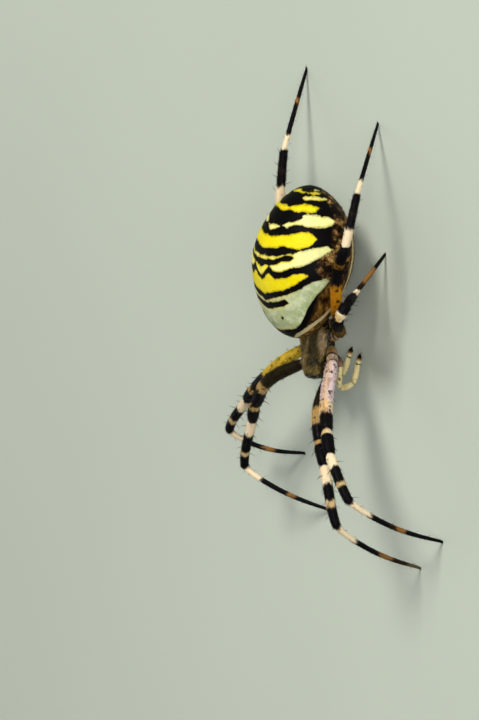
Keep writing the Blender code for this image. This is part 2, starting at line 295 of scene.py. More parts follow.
def add_object(name, data):
    """A new object in the scene."""
    found = bpy.data.objects.new(name, data)
    bpy.context.scene.collection.objects.link(found)
    return found


def place_in_frame():
    """Where the spider's own origin lies in the frame, in metres."""
    low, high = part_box("abdomen")
    return Vector(((low.x + high.x) / 2, low.y - FRONT_OF_ABDOMEN * MM, 0))


def fill_mesh(mesh, points, faces):
    """Gives a mesh its points and its faces, a list of arrays of corner numbers."""
    corners = np.concatenate([group.ravel() for group in faces]).astype(np.int32)
    sizes = np.concatenate([np.full(len(group), group.shape[1]) for group in faces])
    mesh.vertices.add(len(points))
    mesh.vertices.foreach_set("co", points.astype(np.float32).ravel())
    mesh.loops.add(len(corners))
    mesh.loops.foreach_set("vertex_index", corners)
    mesh.polygons.add(len(sizes))
    mesh.polygons.foreach_set("loop_start", (np.cumsum(sizes) - sizes).astype(np.int32))
    mesh.update(calc_edges=True)


def add_piece(name, points, faces, material, attributes, nodes=()):
    """A smooth mesh piece from points in millimetres, which stands for the given nodes."""
    mesh = bpy.data.meshes.new(name)
    fill_mesh(mesh, points * MM + np.array(place_in_frame()), faces)
    for key, values in attributes.items():
        values = np.asarray(values, np.float32)
        kind, field = ("FLOAT", "value") if values.ndim == 1 else ("FLOAT_VECTOR", "vector")
        mesh.attributes.new(key, kind, "POINT").data.foreach_set(field, values.ravel())
    mesh.materials.append(material)
    mesh.shade_smooth()
    piece = add_object(name, mesh)
    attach(piece, "root")
    if nodes:
        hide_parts(*nodes)
    return piece


def tube_faces(points, rows, sides):
    """Faces of a closed tube, quads round it and one face at each end, turned outwards."""
    row, side = np.meshgrid(np.arange(rows - 1), np.arange(sides), indexing="ij")
    here, beside = row * sides + side, row * sides + (side + 1) % sides
    quads = np.stack([here, here + sides, beside + sides, beside], -1).reshape(-1, 4)
    start = np.arange(sides)[None]
    groups = [quads, start, start[:, ::-1] + (rows - 1) * sides]
    corners = points[quads[:, :3]] - points.mean(0)
    volume = np.einsum("ij,ij->i", corners[:, 0], np.cross(corners[:, 1], corners[:, 2])).sum()
    return [group[:, ::-1] for group in groups] if volume < 0 else groups


def unit(vectors):
    return vectors / np.linalg.norm(vectors, axis=-1, keepdims=True)


def spline(rows, places):
    """Values of a smooth curve through rows at fractional row numbers."""
    rows = np.asarray(rows, float)
    i = np.clip(places.astype(int), 0, len(rows) - 2)
    t = (places - i)[:, None]
    before, after = np.clip(i - 1, 0, None), np.clip(i + 2, None, len(rows) - 1)
    p0, p1, p2, p3 = rows[before], rows[i], rows[i + 1], rows[after]
    a, b = (p2 - p0) / 2, (p3 - p1) / 2
    return (
        p1 * (2 * t**3 - 3 * t**2 + 1) + p2 * (3 * t**2 - 2 * t**3)
        + a * (t**3 - 2 * t**2 + t) + b * (t**3 - t**2)
    )


def lumps(points, scale, seed):
    """Smooth random values from about -1 to 1 over points."""
    rng = np.random.default_rng(seed)
    total = np.zeros(len(points))
    for _ in range(10):
        way = unit(rng.normal(size=3)) * scale * rng.uniform(0.6, 1.6)
        total += np.sin(points @ way + rng.uniform(0, 6.28))
    return total / 4


def rise(values, low, high):
    """0 below low, 1 above high and smooth between; it falls where low is above high."""
    t = np.clip((values - low) / (high - low), 0, 1)
    return t * t * (3 - 2 * t)


# -------------------- materials


def linear(colour):
    """A colour with the shader's linear values from an sRGB one."""
    return tuple(c / 12.92 if c <= 0.04045 else ((c + 0.055) / 1.055) ** 2.4 for c in colour) + (1,)


class Paint:
    """A material's nodes, with a short name for each step."""

    def __init__(self, name, roughness=0.5, specular=0.3):
        self.material = bpy.data.materials.new(name)
        self.material.use_nodes = True
        self.nodes = self.material.node_tree.nodes
        self.links = self.material.node_tree.links
        self.shader = self.nodes["Principled BSDF"]
        self.set("Roughness", roughness)
        self.set("Specular IOR Level", specular)

    def set(self, socket, value):
        self.put(self.shader.inputs[socket], value)

    def put(self, socket, value):
        """Links a node's output to the socket, or sets it to a value or an sRGB colour."""
        if isinstance(value, bpy.types.NodeSocket):
            self.links.new(value, socket)
        else:
            socket.default_value = linear(value) if isinstance(value, tuple) else value

    def node(self, kind, out=0, **inputs):
        """The output of a new node with the given inputs, named with _ for each space."""
        node = self.nodes.new(f"ShaderNode{kind}")
        for name, value in inputs.items():
            self.put(node.inputs[name.replace("_", " ")], value)
        return node.outputs[out]

    def attribute(self, name, out="Fac"):
        socket = self.node("Attribute", out)
        socket.node.attribute_name = name
        return socket

    def noise(self, place, scale, detail=3.0, rough=0.5):
        return self.node("TexNoise", "Fac", Vector=place, Scale=scale, Detail=detail, Roughness=rough)

    def stretch(self, place, factors):
        """The coordinates, each multiplied by its own factor."""
        found = self.node("VectorMath", Vector=place)
        found.node.operation = "MULTIPLY"
        found.node.inputs[1].default_value = factors
        return found

    def cells(self, place, scale):
        return self.node("TexVoronoi", "Distance", Vector=place, Scale=scale)

    def math(self, operation, a, b=0.0):
        socket = self.node("Math")
        socket.node.operation = operation
        self.put(socket.node.inputs[0], a)
        self.put(socket.node.inputs[1], b)
        return socket

    def times(self, found, *factors):
        for factor in factors:
            found = self.math("MULTIPLY", found, factor)
        return found

    def plus(self, a, b):
        return self.math("ADD", a, b)

    def step(self, value, low, high):
        """0 below low, 1 above high and smooth between; it falls where low is above high."""
        socket = self.node("MapRange", Value=value, From_Min=low, From_Max=high)
        socket.node.interpolation_type = "SMOOTHSTEP"
        return socket

    def ramp(self, value, stops):
        """Colours by place; stops are (place, sRGB colour)."""
        socket = self.node("ValToRGB", Fac=value)
        elements = socket.node.color_ramp.elements
        elements[0].position, elements[1].position = stops[0][0], stops[-1][0]
        for place, _ in stops[1:-1]:
            elements.new(place)
        for element, (_, colour) in zip(elements, stops):
            element.color = linear(colour)
        return socket

    def mix(self, share, a, b, blend="MIX"):
        """Colour a, or b where share is 1."""
        node = self.nodes.new("ShaderNodeMix")
        node.data_type = "RGBA"
        node.blend_type = blend
        for i, value in ((0, share), (6, a), (7, b)):
            self.put(node.inputs[i], value)
        return node.outputs[2]

    def bump(self, height, strength, distance_mm):
        self.set("Normal", self.node("Bump", Height=height, Strength=strength, Distance=distance_mm * MM))


def band_stops(bands, span):
    """Ramp stops of a limb's colour bands, with a short soft edge between two."""
    soft = 0.011 / span
    stops = [(0.0, BAND_COLOURS[bands[0][1]])]
    for (end, name), (_, following) in zip(bands, bands[1:]):
        stops += [(end / span - soft, BAND_COLOURS[name]), (end / span + soft, BAND_COLOURS[following])]
    return stops + [(1.0, BAND_COLOURS[bands[-1][1]])]


def coxa_colour(paint, colour, place, along, joint):
    """Painted lilac highlights in patches, a dark ring at the joint, and a pale ring of painted highlight
    over a leg's first segment.
    """
    span = len(SEGMENTS)
    # Painted highlights: lilac-white patches where the glossy coxa would catch the light
    painted_highlights = paint.step(paint.noise(place, 1.3, 3.0, 0.6), 0.40, 0.56)
    colour = paint.mix(paint.times(painted_highlights, joint, 0.75), colour, (0.84, 0.78, 0.82))
    for share, shade, (start, full, fading, end) in COXA_RINGS:
        opening = paint.step(along, start / span, full / span)
        ring = paint.times(opening, paint.step(along, end / span, fading / span))
        colour = paint.mix(paint.times(ring, share), colour, shade)
    return colour


def spotted_colour(paint, colour, place, base):
    """Brown blotches and round dark spots, where base is 1."""
    blotch = paint.step(paint.noise(place, 2.1, 5.0, 0.65), 0.47, 0.60)
    colour = paint.mix(paint.times(blotch, base, 0.60), colour, (0.62, 0.50, 0.32), "MULTIPLY")
    drops = paint.cells(paint.stretch(place, (1.0, 1.0, 2.2)), 1.9)
    spots = paint.times(paint.step(drops, 0.34, 0.22), base, 0.95)
    return paint.mix(spots, colour, (0.12, 0.06, 0.05), "MULTIPLY")


def limb_material(name, bands, span, hair=False):
    """A leg's or palp's bands, spotted and grained, with painted shade on the upper side of a leg's first
    segments; its hair has the bands alone.
    """
    paint = Paint(name, 0.5, 0.06)
    place = paint.attribute("place", "Vector")
    along = paint.attribute("along")
    wobble = paint.math("SUBTRACT", paint.noise(place, 2.4, 4.0, 0.6), 0.5)
    colour = paint.ramp(paint.plus(along, paint.times(wobble, 0.15 / span)), band_stops(bands, span))
    if hair:
        paint.set("Base Color", paint.mix(0.02, colour, (0.50, 0.38, 0.26)))
        return paint.material
    base = paint.step(along, 2.32 / span, 2.26 / span)
    joint = 0.0
    if span == len(SEGMENTS):
        joint = paint.step(along, 1.04 / span, 0.98 / span)
        colour = coxa_colour(paint, colour, place, along, joint)
        # Painted shade: the upper side of the coxa and femur is darker and warmer, so the underside looks
        # lit
        above = paint.step(paint.attribute("below"), 0.45, -0.75)
        colour = paint.mix(paint.times(above, base), colour, (0.86, 0.80, 0.62), "MULTIPLY")
    colour = spotted_colour(paint, colour, place, base)
    fine = paint.noise(place, 9.0, 4.0, 0.6)
    paint.set("Base Color", paint.mix(paint.times(fine, 0.25), colour, (0.50, 0.36, 0.26), "MULTIPLY"))
    rough = paint.plus(paint.times(fine, 0.2), 0.40)
    paint.set("Roughness", paint.math("SUBTRACT", rough, paint.times(joint, 0.32)))
    paint.set("Coat Weight", paint.plus(paint.times(joint, 0.5), paint.times(base, 0.10)))
    paint.set("Coat Roughness", 0.12)
    paint.bump(paint.noise(place, 14.0, 3.0), 0.45, 0.03)
    return paint.material


def flank_colour(paint, place):
    """Tan streaks towards the front of the flank, and rusty patches on black towards its rear."""
    long = paint.stretch(place, (1.0, 0.45, 1.0))
    streak = (
        (0.36, (0.07, 0.04, 0.01)), (0.48, (0.28, 0.18, 0.05)),
        (0.60, (0.48, 0.35, 0.14)), (0.72, (0.74, 0.58, 0.36)),
    )
    patch = (
        (0.44, (0.03, 0.02, 0.012)), (0.52, (0.24, 0.15, 0.06)),
        (0.60, (0.55, 0.41, 0.22)), (0.70, (0.82, 0.68, 0.44)),
    )
    streaks = paint.ramp(paint.noise(long, 1.9, 6.0, 0.66), streak)
    patches = paint.ramp(paint.noise(place, 1.25, 6.0, 0.68), patch)
    return paint.mix(paint.attribute("rear"), streaks, patches)


def abdomen_material():
    """Bands on black, the brown flank and its cream lines; for the skin and for its hair."""
    paint = Paint("abdomen", 0.5, 0.05)
    place = paint.attribute("place", "Vector")
    slow = paint.math("SUBTRACT", paint.noise(place, 1.4, 3.0, 0.55), 0.5)
    quick = paint.math("SUBTRACT", paint.noise(place, 5.0, 4.0, 0.6), 0.5)
    wobble = paint.plus(paint.times(slow, 0.42), paint.times(quick, 0.18))
    edge = paint.plus(paint.attribute("band"), wobble)
    pale = paint.step(edge, -0.035, 0.045)
    tone = paint.plus(paint.attribute("hue"), paint.times(slow, 0.30))
    hues = ((0.0, YELLOW), (0.26, LEMON), (0.5, PALE_YELLOW), (1.0, GREEN_WHITE))
    bands = paint.ramp(tone, hues)
    front = paint.step(tone, 0.66, 0.92)
    milk = paint.step(paint.noise(place, 1.0, 5.0, 0.62), 0.45, 0.62)
    bands = paint.mix(paint.times(milk, front, 0.50), bands, (0.88, 0.89, 0.78))
    moss = paint.step(paint.noise(place, 0.62, 4.0, 0.6), 0.50, 0.64)
    bands = paint.mix(paint.times(moss, front, 0.45), bands, (0.47, 0.55, 0.34))
    grains = paint.cells(place, 6.0)
    bands = paint.mix(paint.times(grains, 0.22), bands, (0.80, 0.66, 0.30), "MULTIPLY")
    rim = paint.step(edge, 0.20, 0.02)
    bands = paint.mix(paint.times(rim, 0.55), bands, (0.55, 0.46, 0.08), "MULTIPLY")
    dots = paint.step(paint.cells(place, 7.5), 0.22, 0.12)
    dots = paint.times(dots, paint.step(edge, 0.45, 0.10), 0.6)
    bands = paint.mix(dots, bands, (0.22, 0.18, 0.05))
    ground = paint.mix(paint.attribute("flank"), BLACK, flank_colour(paint, place))
    line = paint.step(paint.plus(paint.attribute("line"), wobble), -0.05, 0.16)
    ground = paint.mix(paint.times(line, 0.85), ground, (0.84, 0.77, 0.58))
    paint.set("Base Color", paint.mix(pale, ground, bands))
    paint.set("Coat Weight", paint.times(pale, 0.16))
    paint.set("Coat Roughness", 0.5)
    paint.bump(paint.plus(paint.noise(place, 3.6, 5.0, 0.55), paint.times(pale, 0.25)), 0.40, 0.06)
    return paint.material


def carapace_material():
    paint = Paint("carapace_skin", 0.5, 0.25)
    place = paint.attribute("place", "Vector")
    shades = ((0.34, (0.24, 0.19, 0.05)), (0.50, (0.48, 0.39, 0.15)), (0.66, (0.70, 0.57, 0.30)))
    colour = paint.ramp(paint.noise(place, 1.8, 5.0, 0.6), shades)
    # Dark olive, the darker front of the head, and painted shade on the lower sides
    colour = paint.mix(paint.attribute("dark"), colour, (0.060, 0.062, 0.015))
    colour = paint.mix(paint.attribute("pale"), colour, (0.82, 0.62, 0.40))
    paint.set("Base Color", colour)
    paint.bump(paint.noise(place, 12.0, 3.0), 0.5, 0.03)
    return paint.material


def carapace_hair_material():
    paint = Paint("carapace_hair", 0.4, 0.4)
    tone = paint.attribute("tone")
    gold = (
        (0.0, (0.18, 0.17, 0.04)), (0.35, (0.52, 0.44, 0.18)),
        (0.7, (0.86, 0.72, 0.50)), (1.0, (0.98, 0.90, 0.84)),
    )
    paint.set("Base Color", paint.ramp(tone, gold))
    return paint.material


def mottled_material(name, light, dark, roughness=0.45, specular=0.3, scale=4.0):
    """Two shades of one colour, mottled and slightly rough."""
    paint = Paint(name, roughness, specular)
    place = paint.attribute("place", "Vector")
    paint.set("Base Color", paint.ramp(paint.noise(place, scale, 4.0), ((0.35, dark), (0.65, light))))
    paint.bump(paint.noise(place, scale * 4, 3.0), 0.35, 0.02)
    return paint.material


def eye_material():
    paint = Paint("eye_lens", 0.05, 0.7)
    shades = ((0.2, (0.10, 0.06, 0.04)), (0.6, (0.015, 0.012, 0.014)))
    paint.set("Base Color", paint.ramp(paint.attribute("front"), shades))
    paint.set("Coat Weight", 1.0)
    paint.set("Coat Roughness", 0.03)
    return paint.material


# -------------------- hairs


def spikes(roots, ways, outs, lengths, widths):
    """Three-sided hairs, bent a little back to the skin: their points and triangles."""
    across = unit(np.cross(ways, outs))
    over = np.cross(across, ways)
    points = np.empty((len(roots), 7, 3))
    for i, angle in enumerate((0, 2.094, 4.189)):
        rim = across * math.cos(angle) + over * math.sin(angle)
        points[:, i] = roots + rim * widths[:, None]
        points[:, i + 3] = roots + ways * (0.5 * lengths)[:, None] + rim * (0.7 * widths)[:, None]
    tip = unit(ways - 0.25 * outs)
    points[:, 6] = points[:, 3:6].mean(1) + tip * (0.5 * lengths)[:, None]
    points[:, :, 2] = np.maximum(points[:, :, 2], 0.004)
    one = np.array((
        (0, 4, 1), (0, 3, 4), (1, 5, 2), (1, 4, 5), (2, 3, 0), (2, 5, 3), (3, 6, 4), (4, 6, 5), (5, 6, 3),
    ))
    faces = (one[None] + 7 * np.arange(len(roots))[:, None, None]).reshape(-1, 3)
    return points.reshape(-1, 3), [faces]


def add_bake_map(piece, spots):
    """The OFBake map: each hair is a small patch at its root's place on the skin's unwrap."""
    offsets = PATCH * np.array([(-1, -1), (1, -1), (0, -0.6), (-0.7, 0), (0.7, 0), (0, 0.2), (0, 1)])
    corners = (0.02 + 0.96 * spots[:, None] + offsets[None]).reshape(-1, 2)
    mesh = piece.data
    index = np.empty(len(mesh.loops), np.int32)
    mesh.loops.foreach_get("vertex_index", index)
    layer = mesh.uv_layers.new(name="OFBake")
    layer.data.foreach_set("uv", corners[index].astype(np.float32).ravel())


def add_coat(name, hairs, material, attributes, spots):
    """One coat piece from hairs given as roots, ways, outs, lengths and widths."""
    points, faces = spikes(*hairs)
    each = {key: np.repeat(values, 7, axis=0) for key, values in attributes.items()}
    add_bake_map(add_piece(name, points, faces, material, each), spots)


# -------------------- limbs


def joint_directions(joints):
    """The direction of a limb's middle line at each joint, halfway between its two neighbours."""
    spans = unit(joints[1:] - joints[:-1])
    return np.vstack([spans[:1], unit(spans[:-1] + spans[1:]), spans[-1:]])


def curve(start, end, ways, pull, t):
    """Points of the smooth curve between two joints."""
    a, b = (way * pull * np.linalg.norm(end - start) for way in ways)
    t = t[:, None]
    share = 3 * t**2 - 2 * t**3
    return start * (1 - share) + end * share + a * (t**3 - 2 * t**2 + t) + b * (t**3 - t**2)


def limb_line(joints, pulls, radii, bows, step):
    """Points, radii and places along a limb, where place i + t is t of the way along segment i."""
    ways = joint_directions(joints)
    points, sizes, places = [], [], []
    for i, (pull, widths) in enumerate(zip(pulls, radii)):
        t = np.arange(0, 1, step / np.linalg.norm(joints[i + 1] - joints[i]))
        row = curve(joints[i], joints[i + 1], ways[i : i + 2], pull, t)
        row = row + np.array(dict(bows).get(i, (0, 0, 0))) * np.sin(math.pi * t)[:, None] ** 2
        points.append(row)
        sizes.append(spline(np.array(widths)[:, None], t * (len(widths) - 1))[:, 0])
        places.append(i + t)
    return np.vstack(points), np.concatenate(sizes), np.concatenate(places)


def frames(points):
    """Directions along and across a line, turned as little as possible from point to point."""
    along = unit(np.gradient(points, axis=0))
    side = np.cross(along[0], (0, 0, 1))
    sides = []
    for way in along:
        side = unit(side - way * (side @ way))
        sides.append(side)
    sides = np.array(sides)
    return along, sides, np.cross(sides, along)


class Limb:
    """The skin of a leg, palp or other round part, kept for its coat to stand on."""

    def __init__(self, joints, pulls, radii, bows=(), scale=1.0, pinch=0.20, step=0.11):
        points, sizes, places = limb_line(np.array(joints, float), pulls, radii, bows, step)
        run = np.concatenate([[0], np.cumsum(np.linalg.norm(np.diff(points, axis=0), axis=1))])
        sizes = sizes * scale
        for joint in range(1, len(radii)):
            middle = run[np.searchsorted(places, joint)]
            sizes = sizes * (1 - pinch * np.exp(-(((run - middle) / (0.28 * sizes.max())) ** 2)))
        turns = np.radians((25, 50, 70, 86))
        reach, way = sizes[-1] * np.sin(turns), points[-1] - points[-2]
        self.points = np.vstack([points, points[-1] + unit(way) * reach[:, None]])
        self.sizes = np.concatenate([sizes, sizes[-1] * np.cos(turns)])
        self.places = np.concatenate([places, np.full(4, places[-1])])
        self.run = np.concatenate([run, run[-1] + reach])
        self.span = len(radii)
        self.along, self.side, self.up = frames(self.points)

    def at(self, row, angle):
        """Points of the skin and their outward directions, for row numbers and angles."""
        out = self.side[row] * np.cos(angle)[:, None] + self.up[row] * np.sin(angle)[:, None]
        return self.points[row] + out * self.sizes[row][:, None], out

    def attributes(self, row, angle):
        """The place along the limb, coordinates that wrap round it and are drawn out along it, and how far
        the skin faces down, for a leg's painted shade.
        """
        size = self.sizes[row]
        place = np.stack([size * np.cos(angle), size * np.sin(angle), 0.45 * self.run[row]], -1)
        _, out = self.at(row, angle)
        return {"along": self.places[row] / self.span, "place": place, "below": -out[:, 2]}

    def surface(self, sides):
        """Points, faces and attributes of the skin."""
        rows = len(self.points)
        row = np.repeat(np.arange(rows), sides)
        angle = np.tile(np.arange(sides) * 2 * math.pi / sides, rows)
        points, _ = self.at(row, angle)
        points[:, 2] = np.maximum(points[:, 2], 0.01)
        return points, tube_faces(points, rows, sides), self.attributes(row, angle)

    def skin(self, name, material, sides, slot, nodes=()):
        """Adds the skin as a piece that stands for the given nodes."""
        points, faces, attributes = self.surface(sides)
        add_piece(name, points, faces, material, attributes, nodes)

    def spots(self, row, angle):
        """Places on the skin's unwrap, from 0 to 1 each way."""
        return np.stack([angle / (2 * math.pi) % 1, self.run[row] / self.run[-1]], -1)

    def coat(self, name, count, material, rng, length, width, first=0.0):
        """Short hair lying along the limb towards its tip."""
        rows = np.flatnonzero((self.places >= first) & (self.run < self.run[-1] - 0.05))
        row = rng.choice(rows, count, p=self.sizes[rows] / self.sizes[rows].sum())
        angle = rng.uniform(0, 2 * math.pi, count)
        roots, outs = self.at(row, angle)
        lift = rng.uniform(0.22, 0.62, count)[:, None]
        ways = unit(self.along[row] + outs * lift + rng.normal(0, 0.12, (count, 3)))
        lengths = rng.uniform(*length, count) * np.clip(self.sizes[row] / 0.35, 0.55, 1.1)
        widths = width * rng.uniform(0.7, 1.2, count)
        hairs = (roots - outs * 0.01, ways, outs, lengths, widths)
        spots = self.spots(row, angle)
        add_coat(name, hairs, material, self.attributes(row, angle), spots)

    def spines(self, name, material, rng, first, spacing, length):
        """Strong dark bristles in four rows along the limb, and the claws at its end."""
        start = self.run[np.searchsorted(self.places, first)]
        runs = np.arange(start, self.run[-1] - 0.5, spacing / 2)
        row = np.searchsorted(self.run, runs + rng.uniform(-0.15, 0.15, len(runs)))
        angle = (np.arange(len(runs)) % 4) * math.pi / 2 + 0.6 + rng.normal(0, 0.25, len(runs))
        row = np.append(row, [len(self.points) - 4] * 3)
        angle = np.append(angle, (0.5, 2.6, 1.57))
        roots, outs = self.at(row, angle)
        lift = rng.uniform(1.2, 2.5, len(row))[:, None]
        lift[-3:] = 0.35
        ways = unit(self.along[row] + outs * lift)
        thick = np.clip(self.sizes[row] / 0.45, 0.45, 1.1)
        short = np.where(self.places[row] < 1.75, 0.6, 1.0)
        lengths = length * rng.uniform(0.6, 1.1, len(row)) * thick * short
        hairs = (roots - outs * 0.02, ways, outs, lengths, 0.034 * thick)
        attributes = {"place": self.attributes(row, angle)["place"]}
        add_coat(name, hairs, material, attributes, self.spots(row, angle))


def build_legs(bristle):
    for order, (name, joints) in enumerate(LEGS.items()):
        bands = LEG_BANDS.get(name, LEG_BANDS[name[-1]])
        rng = np.random.default_rng(100 + order)
        bows = {i: BOWS.get((name, segment), (0, 0, 0)) for i, segment in enumerate(SEGMENTS)}
        scale = LEG_THICKNESS.get(name, 1)
        limb = Limb(joints, SEGMENT_PULL.values(), SKIN_RADII.values(), bows, scale)
        skin = limb_material(f"leg_{name}_skin", bands, len(SEGMENTS))
        hair = limb_material(f"leg_{name}_hair", bands, len(SEGMENTS), hair=True)
        nodes = [f"leg_{name}_{segment}" for segment in SEGMENTS]
        limb.skin(f"leg_{name}_skin", skin, LEG_SIDES, "leg", nodes)
        # The rear legs are the shaggiest
        length = (0.18, 0.36) if name.endswith("4") else (0.15, 0.30)
        limb.coat(f"leg_{name}_coat", LEG_HAIRS, hair, rng, length, 0.010, 0.9)
        limb.spines(f"leg_{name}_spines", bristle, rng, 1.1, 0.62, 0.86)


def build_palps(bristle):
    skin = limb_material("palp_skin", PALP_BANDS, len(PALP_RADII))
    hair = limb_material("palp_hair", PALP_BANDS, len(PALP_RADII), hair=True)
    for side, joints in PALPS.items():
        rng = np.random.default_rng(200 + len(side))
        limb = Limb(joints, [0.7] * len(PALP_RADII), PALP_RADII.values(), pinch=0.12, step=0.05)
        nodes = [f"palp_{side}_femur", f"palp_{side}_tibia"]
        limb.skin(f"palp_{side}_skin", skin, ROUND_SIDES, "palp", nodes)
        limb.coat(f"palp_{side}_coat", PALP_HAIRS, hair, rng, (0.16, 0.30), 0.009, 0.3)
        limb.spines(f"palp_{side}_spines", bristle, rng, 0.5, 0.45, 0.55)


# -------------------- skins over the solids


def node_sections(name, nodes):
    """The points of each flat section of a node, front to rear, in the spider's own axes."""
    points = np.array([vertex.co for vertex in nodes[name].data.vertices])
    points = np.unique(np.round((points - np.array(place_in_frame())) / MM, 3), axis=0)
    return [points[np.abs(points[:, 1] - y) < 0.02] for y in np.unique(np.round(points[:, 1], 2))]


class Skin:
    """A closed skin as a grid of points, rows by sides, kept for its coat to stand on."""

    def __init__(self, points, rows, sides):
        self.points, self.rows, self.sides = points, rows, sides
        grid = points.reshape(rows, sides, 3)
        down = np.gradient(grid, axis=0)
        round_it = np.roll(grid, -1, 1) - np.roll(grid, 1, 1)
        normals = np.cross(round_it, down).reshape(-1, 3)
        size = np.linalg.norm(normals, axis=1)
        normals /= np.maximum(size, 1e-9)[:, None]
        facing = np.einsum("ij,ij->i", normals, points - points.mean(0)).sum()
        self.outs = normals if facing > 0 else -normals
        self.areas = size

    def faces(self):
        return tube_faces(self.points, self.rows, self.sides)

    def pick(self, count, weights, rng):
        """Numbers of random points, spread by area and weight, and their places on the unwrap."""
        share = self.areas * weights
        index = rng.choice(len(self.points), count, p=share / share.sum())
        spots = np.stack([index % self.sides / self.sides, index // self.sides / self.rows], -1)
        return index, spots

    def hairs(self, index, comb, lift, length, width, rng):
        """Hairs at those points, combed along the skin in the given directions."""
        outs = self.outs[index]
        flat = unit(comb - outs * np.einsum("ij,ij->i", comb, outs)[:, None] + 1e-6)
        ways = flat + outs * rng.uniform(*lift, len(index))[:, None]
        ways = unit(ways + rng.normal(0, 0.13, ways.shape))
        roots = self.points[index] + rng.normal(0, 0.03, ways.shape) - outs * 0.012
        lengths = rng.uniform(*length, len(index))
        return roots, ways, outs, lengths, width * rng.uniform(0.7, 1.2, len(index))


# -------------------- abdomen


def band_value(edges, angle, y):
    """How far inside a marking each point lies, in mm; negative outside it."""
    edges = np.array(edges, float)
    steps = np.arange(0, 181.0)
    past = np.clip(steps - edges[-1, 0], 0, None) + np.clip(edges[0, 0] - steps, 0, None)
    front = np.interp(steps, edges[:, 0], edges[:, 1]) + 0.06 * past
    rear = np.interp(steps, edges[:, 0], edges[:, 2]) - 0.06 * past
    kernel = np.array([1, 2, 3, 2, 1]) / 9
    front, rear = (np.convolve(np.pad(row, 2, mode="reflect"), kernel, "valid") for row in (front, rear))
    return np.minimum(y - np.interp(angle, steps, front), np.interp(angle, steps, rear) - y)


def abdomen_markings(angle, y):
    """The values that the abdomen's material turns into its markings."""
    values = np.array([band_value(edges, angle, y) for _, edges in BANDS])
    band = values.max(0)
    hue = np.array([tone for tone, _ in BANDS])[values.argmax(0)]
    for edges in BARS:
        band = np.minimum(band, -band_value(edges, angle, y))
    near_edge = np.exp(-np.clip(band, 0, None) / 0.22)
    hue = hue - 0.50 * (hue > 0.6) * near_edge * rise(angle, 62, 30)
    flank = np.clip((angle - np.interp(y, *FLANK_BORDER)) / 8, 0, 1) * rise(y, 14.2, 13.7)
    spot_angle, spot_y, spot_radius = DARK_SPOT
    spot = np.hypot(y - spot_y, (angle - spot_angle) * MM_PER_DEGREE)
    band = np.minimum(band, spot - spot_radius)
    front_line = 0.38 - np.abs(y - np.interp(angle, *FRONT_LINE)) - 0.04 * np.clip(46 - angle, 0, None)
    side_line = 0.34 - 0.085 * np.abs(angle - np.interp(y, (4.5, 10.0), (120, 132)))
    side_line = side_line - 0.5 * np.clip(5.2 - y, 0, None) - 0.5 * np.clip(y - 10.2, 0, None)
    low_line = 0.26 - 0.075 * np.abs(angle - 156)
    low_line = low_line - 0.5 * np.clip(4.0 - y, 0, None) - 0.5 * np.clip(y - 10.6, 0, None)
    line = np.maximum.reduce([front_line, side_line, low_line])
    return {"band": band, "hue": hue, "flank": flank, "line": line, "rear": rise(y, 4.8, 7.4)}


def abdomen_profile(nodes, count):
    """Evenly spaced rows of y, centre height, half width and half height, from the solid's sections."""
    rows = []
    for points in node_sections("abdomen", nodes):
        low, high = points[:, 2].min(), points[:, 2].max()
        rows.append((points[0, 1], (low + high) / 2, points[:, 0].max(), (high - low) / 2))
    fine = spline(rows, np.linspace(0, len(rows) - 1, 1200))
    run = np.concatenate([[0], np.cumsum(np.hypot(np.diff(fine[:, 0]), np.diff(fine[:, 2])))])
    steps = np.linspace(0, run[-1], count)
    return np.stack([np.interp(steps, run, fine[:, i]) for i in range(4)], -1)


def build_abdomen(nodes):
    """The abdomen's skin and its sparse short hair."""
    rows, sides = 230, 300
    profile = abdomen_profile(nodes, rows)
    y, middle, width, height = np.repeat(profile, sides, axis=0).T
    turn = np.tile(np.arange(sides) * 2 * math.pi / sides, rows)
    width, height = width - 0.05, height - 0.05
    points = np.stack([width * np.sin(turn), y, middle + height * np.cos(turn)], -1)
    outs = unit(np.stack([np.sin(turn) / width, 0 * turn, np.cos(turn) / height], -1))
    angle = np.degrees(np.abs((turn + math.pi) % (2 * math.pi) - math.pi))
    markings = abdomen_markings(angle, y)
    swell = 0.035 * rise(markings["band"], -0.15, 0.15)
    relief = 0.03 * lumps(points, 0.9, 3) + 0.012 * lumps(points, 3.0, 4) + swell - 0.04
    points += outs * relief[:, None]
    skin = Skin(points, rows, sides)
    attributes = {**markings, "place": points}
    material = abdomen_material()
    add_piece("abdomen_skin", points, skin.faces(), material, attributes, ["abdomen"])
    rng = np.random.default_rng(31)
    index, spots = skin.pick(ABDOMEN_HAIRS, 0.4 + rise(angle, 60, 110), rng)
    comb = np.tile((0.0, 1.0, 0.0), (len(index), 1))
    hairs = skin.hairs(index, comb, (0.2, 0.7), (0.12, 0.26), 0.008, rng)
    roots = {key: values[index] for key, values in attributes.items()}
    add_coat("abdomen_coat", hairs, material, roots, spots)


# -------------------- carapace and head


def furrows(x, y):
    """Depth of the carapace's furrows: the pit in its middle, and rays out from it."""
    depth = 0.9 * np.exp(-((x / 0.16) ** 2) - ((y - 0.75) / 0.42) ** 2)
    reach = np.hypot(x, y - 0.75)
    angle = np.degrees(np.arctan2(np.abs(x), -(y - 0.75)))
    for ray, strength in ((28, 1.0), (62, 0.45), (92, 0.45), (122, 0.4)):
        off = np.radians(angle - ray) * reach
        ends = rise(reach, 0.3, 0.7) * rise(reach, 3.4, 2.2)
        depth = depth + strength * np.exp(-((off / 0.15) ** 2)) * ends
    return depth


